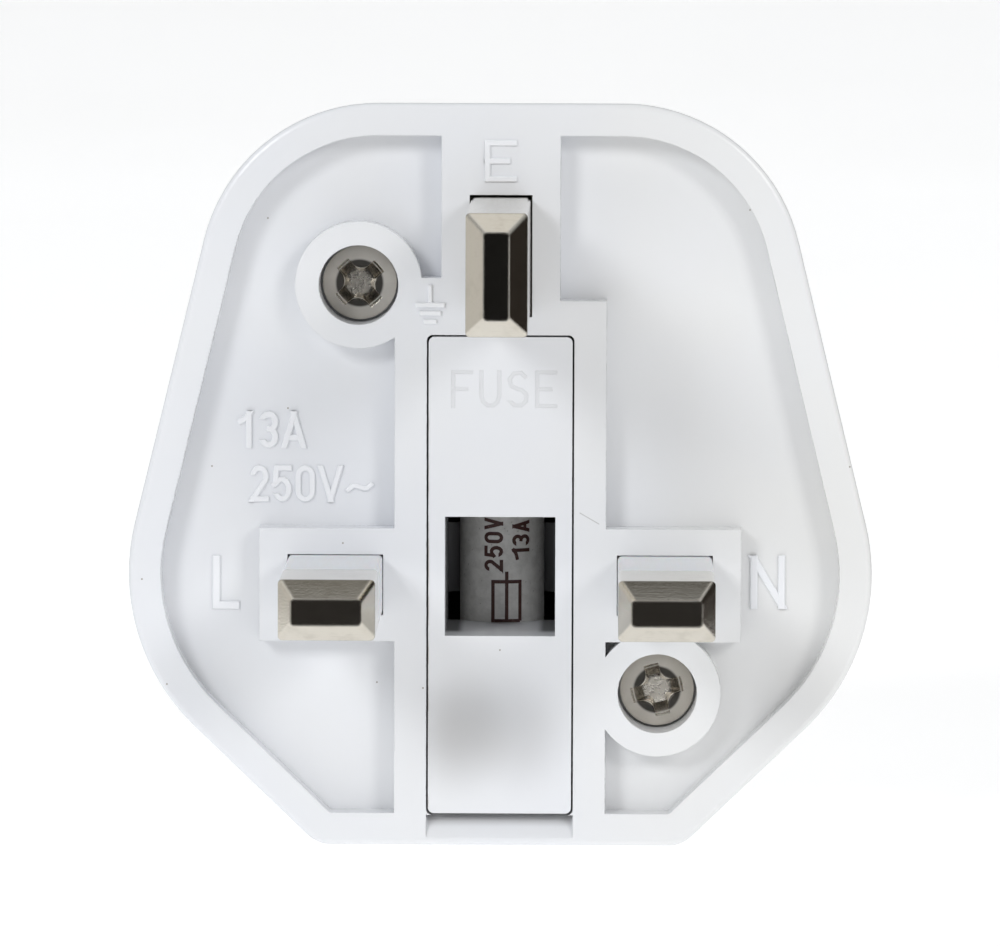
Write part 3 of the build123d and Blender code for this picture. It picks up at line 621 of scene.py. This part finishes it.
letters = {
    "F": [[(1, 1), (0, 1), (0, 0)], [(0, 0.5), (0.85, 0.5)]],
    "U": [[(0, 1), *arc((0.5, 0.3), (0.5, 0.3), 180, 360, 5), (1, 1)]],
    "S": [
        [*arc((0.5, 0.75), (0.5, 0.25), 20, 270, 5), *arc((0.5, 0.25), (0.5, 0.25), 65, -160, 5)],
    ],
    "E": [[(1, 1), (0, 1), (0, 0), (1, 0)], [(0, 0.5), (0.85, 0.5)]],
    "L": [[(0, 1), (0, 0), (1, 0)]],
    "N": [[(0, 0), (0, 1)], [(1, 0), (1, 1)], [(0, 1), (1, 0)]],
    "A": [[(0, 0), (0.5, 1)], [(1, 0), (0.5, 1)], [(0.2, 0.24), (0.8, 0.24)]],
    "V": [[(0, 1), (0.5, 0)], [(1, 1), (0.5, 0)]],
    "1": [[(1, 0), (1, 1)], [(0, 0.78), (0.6, 0.86), (1, 1)]],
    "3": [
        [*arc((0.5, 0.75), (0.5, 0.25), 160, -70, 9), (0.35, 0.53)],
        [(0.35, 0.53), *arc((0.5, 0.26), (0.5, 0.26), 70, -160, 9)],
    ],
    "2": [[*arc((0.5, 0.72), (0.5, 0.28), 170, -25, 8), (0, 0)], [(0, 0), (1, 0)]],
    "5": [
        [(1, 1), (0.1, 1), (0, 0.5)],
        [(0, 0.5), *arc((0.5, 0.32), (0.5, 0.32), 110, -155, 9)],
    ],
    "0": [
        [
            (0, 0.5), *arc((0.5, 0.74), (0.5, 0.26), 180, 0, 8),
            *arc((0.5, 0.26), (0.5, 0.26), 0, -180, 8), (0, 0.5),
        ]
    ],
    "~": [[(0, 0.1), (0.16, 0.75), (0.32, 0.8), (0.68, 0.2), (0.84, 0.25), (1, 0.9)]],
}
print("letters drawn:", " ".join(letters))

# %% [markdown]
# ## Raised letters
#
# The tool that moulds the housing has its letters cut into the steel, so on the part they
# stand up by a fifth of a millimetre, with tops that slope off at the edges. A raised stroke
# is a strip with a flat crown, two sloped shoulders and a foot sunk in the wall, mitred where
# the stroke bends and cut level at its ends. Where strokes cross, each later crown lies a
# hair lower, so that no two faces share a plane. L, N and E stand beside their pins, and the
# rating stands in the left recess.

# %% Lay the letters
letter_rise = 0.20
letter_slope = 0.06
letter_root = 0.05
stroke_drop = 0.008


def end_side(run, half_width):
    """Half the cut across a stroke's end, level where the stroke is steep."""
    if abs(run.y) > abs(run.x):
        return Vector((-half_width / run.y, 0.0))
    return Vector((-run.y, run.x)) * half_width


def stroke_sides(points, half_width):
    """Half the cut across a stroke at each of its points, mitred at the bends."""
    runs = [(after - here).normalized() for here, after in zip(points, points[1:])]
    sides = [end_side(runs[0], half_width)]
    for before, after in zip(runs, runs[1:]):
        across = Vector((-before.y, before.x))
        mitre = (across + Vector((-after.y, after.x))).normalized()
        sides.append(mitre * half_width / mitre.dot(across))
    return [*sides, end_side(runs[-1], half_width)]


def lay_strip(corners, faces, points, half_width, depth, cut):
    """Add a strip along a stroke, in millimetres. The cut lists each share across and depth."""
    first = len(corners)
    for point, side in zip(points, stroke_sides(points, half_width)):
        for share, y in cut:
            spot = point + side * share
            corners.append((spot.x, depth + y, spot.y))
    wide = len(cut)
    for count in range(len(points) - 1):
        start = first + count * wide
        for n in range(wide - 1):
            faces.append((start + n, start + n + 1, start + wide + n + 1, start + wide + n))
    last = first + (len(points) - 1) * wide
    faces.append(tuple(reversed(range(first, first + wide))))
    faces.append(tuple(range(last, last + wide)))


def mark_piece(name, corners, faces, material, body):
    """Make a marking from corners in millimetres, and let it ride on a body."""
    mesh = bpy.data.meshes.new(name)
    mesh.from_pydata([Vector(corner) * MM for corner in corners], [], faces)
    mark = bpy.data.objects.new(name, mesh)
    bpy.context.scene.collection.objects.link(mark)
    mesh.materials.append(material)
    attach(mark, body)
    print(name, "has", len(faces), "faces")


def letter_lines(letter, left, right, foot, head, half_width):
    """Middle lines of a letter's strokes, set so that their edges fill the given box."""
    lines = []
    for line in letters[letter]:
        points = []
        for u, v in line:
            x = left + half_width + u * (right - left - 2 * half_width)
            y = foot + half_width + v * (head - foot - 2 * half_width)
            points.append(Vector((x, y)))
        for end, near in ((0, 1), (-1, -2)):
            run = points[end] - points[near]
            steep = abs(run.y) > abs(run.x)
            if line[end][1 if steep else 0] in (0, 1):
                points[end] += run * half_width / max(abs(run.x), abs(run.y))
        lines.append(points)
    return lines


def raised_mark(name, places, foot, head, depth, half_width):
    """Raised letters, each between a left and a right edge, joined into one piece."""
    corners, faces = [], []
    shoulder = 1.0 - letter_slope / half_width
    for letter, left, right in places:
        lines = letter_lines(letter, left, right, foot, head, half_width)
        for count, points in enumerate(lines):
            crown = count * stroke_drop - letter_rise
            cut = (
                (1.0, letter_root), (1.0, crown + letter_slope), (shoulder, crown),
                (-shoulder, crown), (-1.0, crown + letter_slope), (-1.0, letter_root),
            )
            lay_strip(corners, faces, points, half_width, depth, cut)
    mark_piece(name, corners, faces, letter_white, "housing")


# %% Set the raised letters
# The letters are painted lighter than the housing, a painted highlight on the raised strokes.
PAINTED_HIGHLIGHT_WHITE = (0.90, 0.91, 0.94)
painted_highlight_share = 0.75
finish, colour, peel = white_plastic("letter_white", [])
colour = finish.mix(painted_highlight_share, colour, PAINTED_HIGHLIGHT_WHITE)
letter_white = finish.cover(colour, 0.24, bump=(peel, 0.001), edge_r=0.04, IOR=1.5)
current_places = [("1", -17.75, -16.82), ("3", -16.35, -15.02), ("A", -14.80, -13.16)]
voltage_places = [
    ("2", -16.95, -15.68), ("5", -15.43, -14.12), ("0", -13.88, -12.54), ("V", -12.33, -10.67),
]
for name, places, foot, head, depth, half_width in (
    ("mark_earth_letter", [("E", -1.10, 1.06)], 27.21, 30.02, 0.0, 0.19),
    ("mark_live", [("L", -19.50, -17.68)], -1.89, 1.76, recess_depth, 0.27),
    ("mark_neutral", [("N", 16.90, 19.28)], -1.72, 1.92, recess_depth, 0.25),
    ("mark_current", current_places, 9.07, 11.58, recess_depth, 0.21),
    ("mark_voltage", voltage_places, 5.41, 7.91, recess_depth, 0.19),
    ("mark_alternating", [("~", -10.40, -8.64)], 6.12, 6.76, recess_depth, 0.17),
):
    raised_mark(name, places, foot, head, depth, half_width)

# %% [markdown]
# ## Earth symbol
#
# Beside the column stands the earth symbol: a short upright over three bars, each narrower
# than the one above. They are too short for strokes with sloped sides alone, so each is a
# small block whose rim slopes off all round, and they are joined into one piece as they are
# in the tool.

# %% Stand the symbol up
earth_x = -4.74
earth_top_z = 20.28
bar_height = 0.32
bars = [(2.0, 18.92), (1.5, 18.37), (0.92, 17.80)]
upright_width = 0.28


def lay_bar(corners, faces, width, low, high):
    """Add a bar of the earth symbol, with a sloped rim, to lists of corners and faces."""
    start = len(corners)
    half = width / 2
    for inset, y in (
        (0.0, letter_root), (0.0, letter_slope - letter_rise), (letter_slope, -letter_rise)
    ):
        left, right = earth_x - half + inset, earth_x + half - inset
        foot, head = low + inset, high - inset
        corners += [(left, y, foot), (right, y, foot), (right, y, head), (left, y, head)]
    for ring in (start, start + 4):
        for side in range(4):
            after = (side + 1) % 4
            faces.append((ring + side, ring + after, ring + 4 + after, ring + 4 + side))
    faces.append((start + 8, start + 9, start + 10, start + 11))


corners, faces = [], []
lay_bar(corners, faces, upright_width, bars[0][1] + bar_height / 2, earth_top_z)
for width, z in bars:
    lay_bar(corners, faces, width, z - bar_height / 2, z + bar_height / 2)
mark_piece("mark_earth_symbol", corners, faces, letter_white, "housing")

# %% [markdown]
# ## The word on the carrier
#
# FUSE is stamped into the carrier with a hot tool, in thin strokes. The tool pushes a little
# plastic aside, so each stroke is a shallow trough between two low ridges, a few hundredths
# of a millimetre high. The floor of the trough lies just clear of the face, because the mesh
# of the CAD part stays as it is, and its grey is painted shade, darker towards the floor.

# %% Stamp the word
word_places = [("F", -3.33, -1.84), ("U", -1.44, 0.06), ("S", 0.44, 1.92), ("E", 2.32, 3.81)]
word_foot, word_head = 11.98, 14.54
word_half_width = 0.145
word_step = 0.001
trough = ((1.0, 0.02), (0.85, -0.03), (0.6, -0.006), (-0.6, -0.006), (-0.85, -0.03), (-1.0, 0.02))
trough_shade_strength = 0.13
finish, colour, peel = white_plastic("stamped_white", [])
# Painted shade in the troughs, darker towards their floor.
trough_painted_shade = finish.ramp(finish.y, -0.022, -0.008) * trough_shade_strength
colour = finish.mix(trough_painted_shade, colour, DUST_AND_SHADE_GREY)
stamped_white = finish.cover(colour, 0.24, bump=(peel, 0.001), edge_r=0.03, IOR=1.5)
corners, faces = [], []
for letter, left, right in word_places:
    lines = letter_lines(letter, left, right, word_foot, word_head, word_half_width)
    for count, points in enumerate(lines):
        cut = [(share, y + count * word_step) for share, y in trough]
        lay_strip(corners, faces, points, word_half_width, 0.0, cut)
mark_piece("mark_fuse_word", corners, faces, stamped_white, "fuse_drawer")

# %% [markdown]
# ## Print on the fuse
#
# A cartridge fuse has its rating rolled onto the ceramic in brown ink, reading along the
# tube. An image could carry it, but it would blur close up. Ink is only a film, so each
# stroke here is a flat line wrapped round the tube a hundredth of a millimetre proud of it,
# cut into short steps that follow the curve. The print is the rating and the plain circuit
# symbol of a fuse: a box with the wire running through it.

# %% Wrap the print round the tube
ink_proud = 0.012
ink_step = 0.2
ink_half_width = 0.12
ink_height = 1.33
ink_letter_width = 0.78
ink_pitch = 0.96
INK_BROWN = (0.075, 0.028, 0.022)
INK_WORN = (0.20, 0.13, 0.11)
finish = Finish("fuse_ink")
worn = finish.noise(finish.place, 5.0, 4.0, 0.7)
colour = finish.mix(finish.ramp(worn, 0.55, 0.72, 0.0, 0.8), INK_BROWN, INK_WORN)
fuse_ink = finish.cover(colour, finish.ramp(worn, 0.3, 0.7, 0.45, 0.6), edge_r=0.02)


def lay_ink(corners, faces, points, half_width):
    """Add a flat line along points to lists of corners and faces, cut into short steps."""
    steps = [points[0]]
    for start, end in zip(points, points[1:]):
        pieces = max(1, round((end - start).length / ink_step))
        steps += [start.lerp(end, (count + 1) / pieces) for count in range(pieces)]
    for point, side in zip(steps, stroke_sides(steps, half_width)):
        corners += [point - side, point + side]
        if point is not steps[0]:
            last = len(corners)
            faces.append((last - 4, last - 2, last - 1, last - 3))


def wrap_print(name, lines, foot_x, start_z):
    """Ink lines round the fuse: their X runs up the tube, and their Y to the left."""
    corners, faces = [], []
    for points in lines:
        lay_ink(corners, faces, points, ink_half_width)
    wrapped = []
    radius = fuse_r + ink_proud
    for u, v in corners:
        angle = (foot_x - v) / radius
        depth = fuse_axis_depth - radius * cos(angle)
        wrapped.append((radius * sin(angle), depth, start_z + u))
    mark_piece(name, wrapped, faces, fuse_ink, "fuse_drawer")


def ink_word(name, word, foot_x, start_z):
    """A word of the plain alphabet, printed up the tube."""
    lines = []
    for count, letter in enumerate(word):
        left = count * ink_pitch
        right = left + ink_letter_width
        lines += letter_lines(letter, left, right, 0.0, ink_height, ink_half_width)
    wrap_print(name, lines, foot_x, start_z)


# %% Print the rating and the circuit symbol
ink_word("ink_voltage", "250V", foot_x=0.10, start_z=0.08)
ink_word("ink_current", "13A", foot_x=2.05, start_z=0.85)
box_length, box_height = 2.7, 1.9
wire_overhang = 0.7
box_rim = [(0, 0), (box_length, 0), (box_length, box_height), (0, box_height), (0, 0)]
wire = [(-wire_overhang, box_height / 2), (box_length + wire_overhang, box_height / 2)]
lines = [[Vector(point) for point in line] for line in (box_rim, wire)]
wrap_print("ink_symbol", lines, foot_x=1.30, start_z=-3.35)

# %% [markdown]
# ## Floor and backdrop
#
# The photograph was taken on a white sheet that runs up behind the object, so there is no
# horizon. The same sheet here is one strip of mesh, flat under the adapter and then curving
# up on a wide radius. It glows a little by itself, as overexposed paper does in a picture.

# %% Lay the sheet
floor_z = cad_box[0].z
sheet_half_width = 3.0
sheet_front_y = -2.2
sheet_bend_y = 0.9
sheet_bend_r = 0.8
sheet_top_z = 2.4
bend_steps = 24
profile = [(sheet_front_y, floor_z), (sheet_bend_y, floor_z)]
for step in range(1, bend_steps + 1):
    angle = pi / 2 * step / bend_steps
    profile.append(
        (sheet_bend_y + sheet_bend_r * sin(angle), floor_z + sheet_bend_r * (1 - cos(angle)))
    )
profile.append((sheet_bend_y + sheet_bend_r, sheet_top_z))
sheet_corners = []
for y, z in profile:
    sheet_corners += [(-sheet_half_width, y, z), (sheet_half_width, y, z)]
sheet_faces = [(2 * n, 2 * n + 1, 2 * n + 3, 2 * n + 2) for n in range(len(profile) - 1)]
sheet_mesh = bpy.data.meshes.new("paper_sheet")
sheet_mesh.from_pydata(sheet_corners, [], sheet_faces)
for face in sheet_mesh.polygons:
    face.use_smooth = True
paper = bpy.data.objects.new("paper_sheet", sheet_mesh)
bpy.context.scene.collection.objects.link(paper)
print("the sheet has", len(sheet_faces), "faces and ends", sheet_top_z, "m up")

# %% Paper
PAPER_WHITE = (0.84, 0.84, 0.84)
PAPER_SHADED = (0.80, 0.80, 0.79)
paper_glow = 0.43
finish = Finish("paper_white")
crumple = finish.noise(finish.place, 0.012, 4.0, 0.6)
colour = finish.mix(finish.ramp(crumple, 0.4, 0.7, 0.0, 0.35), PAPER_WHITE, PAPER_SHADED)
paper_white = finish.cover(
    colour, 0.6, edge_r=0.01, Emission_Color=(1.0, 1.0, 1.0), Emission_Strength=paper_glow
)
sheet_mesh.materials.append(paper_white)

# %% [markdown]
# ## Studio light
#
# White plastic on white paper needs light from the front and the side at once: straight from
# the front its ribs vanish, and from one side alone half of them go black. Two small lamp
# heads stand in front, high to the left and to the right, the left one stronger, so each
# raised edge gets a soft shadow on both sides. A weak wide panel above opens the ledges.


# %% Hang the lamps
def panel(name, place, target, width, height, watts, colour=(1.0, 1.0, 1.0)):
    """A rectangular soft lamp at a place in metres, aimed at a target."""
    lamp = bpy.data.lights.new(name, "AREA")
    lamp.shape = "RECTANGLE"
    lamp.size = width
    lamp.size_y = height
    lamp.energy = watts
    lamp.color = colour
    holder = bpy.data.objects.new(name, lamp)
    holder.location = place
    aim = Vector(target) - Vector(place)
    holder.rotation_euler = aim.to_track_quat("-Z", "Y").to_euler()
    bpy.context.scene.collection.objects.link(holder)


heart = (0.0, 0.0, 0.005)
head_size = 0.28
panel("left_head", (-0.50, -0.82, 0.46), heart, head_size, head_size, 3.1, (0.98, 0.99, 1.0))
panel("right_head", (0.56, -0.80, 0.42), heart, head_size, head_size, 2.35, (1.0, 0.99, 0.98))
panel("top_panel", (0.0, -0.15, 0.95), heart, 1.0, 0.6, 1.0)

# %% [markdown]
# ## Cards that the metal mirrors
#
# Nickel shows only what it mirrors, and in a white studio it would look like white plastic.
# A photographer sets cards round such a thing: here two dark ones in front, one over the
# other, which the flat ends of the pins mirror nearly black, a dark one to the right, a pale
# one to the left, two grey ones above, and a bright strip above the tip of the earth pin.
# Only reflections see them, so they throw no shadow on the white plastic and never stand in
# a picture of the adapter.


# %% Make a card
def flag(name, corners, shade_low, shade_high, glow=0.0):
    """A card that only reflections see, with its shade at its foot and further up."""
    mesh = bpy.data.meshes.new(name)
    mesh.from_pydata(corners, [], [(0, 1, 2, 3)])
    card = bpy.data.objects.new(name, mesh)
    bpy.context.scene.collection.objects.link(card)
    finish = Finish(name)
    rise = finish.ramp(finish.z, -15.0, 10.0, 0.0, 1.0)
    colour = finish.mix(rise, shade_low, shade_high)
    lit = {"Emission_Color": (1.0, 0.99, 0.97), "Emission_Strength": glow}
    mesh.materials.append(finish.cover(colour, 0.9, edge_r=0.01, **lit))
    for ray in ("camera", "diffuse", "shadow", "transmission"):
        setattr(card, "visible_" + ray, False)


def round_box(first, last, low, high):
    """The four corners of a flat box, in the order that goes round it."""
    return [(first, low), (last, low), (last, high), (first, high)]


def facing_card(left, right, low, high):
    """Corners of a card in front of the adapter, across the view."""
    return [(x, facing_y, z) for x, z in round_box(left, right, low, high)]


def side_card(x, front):
    """Corners of a card that stands on the floor beside the adapter."""
    return [(x, y, z) for y, z in round_box(front, side_back_y, floor_z, side_top_z)]


def roof_card(left, right, front, back):
    """Corners of a card that lies level above the adapter."""
    return [(x, y, roof_z) for x, y in round_box(left, right, front, back)]


# %% Set the cards
facing_y = -0.055
facing_left_x = -0.024
facing_split_z = 0.008
side_top_z = 0.25
side_back_y = 0.40
roof_z = 0.076
roof_reach = 0.12
roof_span_y = (0.001, 0.20)
strip_glow = 0.86
PALE_CARD = ((0.66, 0.64, 0.61), (0.80, 0.78, 0.75))
BROWN_CARD = ((0.03, 0.022, 0.018), (0.02, 0.014, 0.01))
FOOT_CARD = ((0.03, 0.027, 0.025), (0.015, 0.013, 0.012))
BLACK_CARD = ((0.0, 0.0, 0.0), (0.002, 0.002, 0.002))
MID_CARD = ((0.19, 0.18, 0.16),) * 2
DARK_CARD = ((0.10, 0.095, 0.085),) * 2
STRIP_CARD = ((0.05, 0.05, 0.05),) * 2
low_card = facing_card(facing_left_x, 0.030, floor_z, facing_split_z)
high_card = facing_card(facing_left_x, 0.010, facing_split_z, 0.036)
flag("flag_front_low", low_card, *FOOT_CARD)
flag("flag_front_high", high_card, *BLACK_CARD)
flag("flag_right", side_card(0.126, -0.022), *BROWN_CARD)
flag("flag_left", side_card(-0.14, -0.02), *PALE_CARD)
flag("flag_roof_left", roof_card(-roof_reach, 0.0, *roof_span_y), *MID_CARD)
flag("flag_roof_right", roof_card(0.0, roof_reach, *roof_span_y), *DARK_CARD)
earth_strip = roof_card(-0.010, 0.008, -0.016, -0.003)
flag("flag_over_earth_pin", earth_strip, *STRIP_CARD, glow=strip_glow)

# %% [markdown]
# ## Light of the room
#
# The room itself fills the shadows. It is dim straight behind the camera, where the screws
# and the pins' ends look, and brighter to the sides and above. The world gets that from a
# ramp along Y, wired on the same kind of board as the finishes. The plain Standard view
# keeps the whites as white as the paper in the photograph.

# %% Light the room
ROOM_WHITE = (0.96, 0.98, 1.0)
room_dim, room_bright = 0.12, 0.46
dim_until, bright_from = -0.98, -0.45
world = bpy.data.worlds.new("studio_room")
bpy.context.scene.world = world
world.use_nodes = True
room = Board(world.node_tree)
room.tree.nodes.clear()
way = room.split(room.node("ShaderNodeTexCoord", outlet="Generated"))
fade = room.ramp(way[1], dim_until, bright_from, room_dim, room_bright)
glow = room.node("ShaderNodeBackground", inlets={"Color": ROOM_WHITE, "Strength": fade})
room.node("ShaderNodeOutputWorld", inlets={"Surface": glow}, outlet=None)
bpy.context.scene.view_settings.view_transform = "Standard"
bpy.context.scene.view_settings.look = "None"
print("the room glows", room_dim, "behind the camera and", room_bright, "elsewhere")

# %% [markdown]
# ## Camera
#
# A camera was fitted to the photograph from the bases and tips of the three pins, because
# they stand out towards it and so show its distance. It stands half a metre in front of the
# adapter, a little to the right and above, looks down by five degrees and is turned by less
# than one. Its focal length in pixels gives the lens.

# %% Set the camera
camera_place = (0.006497, -0.490, 0.051037)
camera_yaw = 0.0133
camera_pitch = 0.0884
camera_roll = 0.0030
focal_pixels = 7306.6
frame_width_pixels = 1000
sensor_mm = 36.0
forward = cos(camera_pitch)
look = Vector((-sin(camera_yaw) * forward, cos(camera_yaw) * forward, -sin(camera_pitch)))
level = Vector((cos(camera_yaw), sin(camera_yaw), 0.0))
rightward = level * cos(camera_roll) + level.cross(look) * sin(camera_roll)
turn = Matrix((rightward, rightward.cross(look), -look)).transposed().to_4x4()
lens = bpy.data.cameras.new("photo_camera")
lens.sensor_fit = "HORIZONTAL"
lens.sensor_width = sensor_mm
lens.lens = focal_pixels / frame_width_pixels * sensor_mm
lens.clip_start = 0.01
lens.clip_end = 20.0
camera = bpy.data.objects.new("photo_camera", lens)
camera.matrix_world = Matrix.Translation(Vector(camera_place)) @ turn
bpy.context.scene.collection.objects.link(camera)
bpy.context.scene.camera = camera
print("lens", round(lens.lens, 1), "mm")
